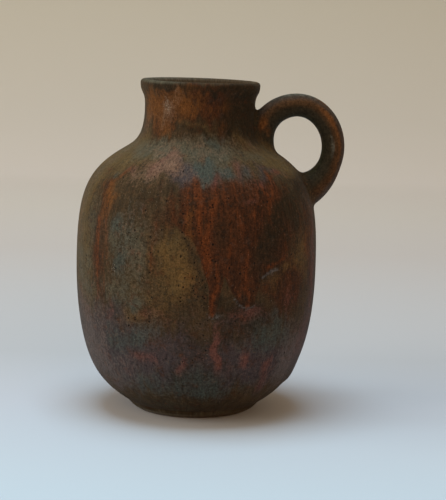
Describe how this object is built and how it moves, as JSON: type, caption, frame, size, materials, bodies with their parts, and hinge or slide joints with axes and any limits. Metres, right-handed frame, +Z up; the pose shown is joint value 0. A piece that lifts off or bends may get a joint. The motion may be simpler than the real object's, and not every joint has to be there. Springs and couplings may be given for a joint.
{
  "type": "ceramic jug vase",
  "caption": "Stoneware jug vase: a full, steep-sided body on a small drawn-in foot, a short neck with a rolled lip, and a loop handle from neck to shoulder. It stands and holds water or stems.",
  "frame": {"origin": "centre of the foot, on the surface that the vase stands on", "axes": "+Z up along the vase's axis, +X from the axis towards the handle, +Y to the right-hand rule; the picture looks along +Y"},
  "size_m": [0.2006, 0.182, 0.25],
  "materials": {
    "reactive_glaze": "satin-matt reactive glaze in rust, olive and blue-grey over brown, with fine pits"
  },
  "bodies": {
    "root": {"vase": "reactive_glaze"}
  },
  "joints": []
}
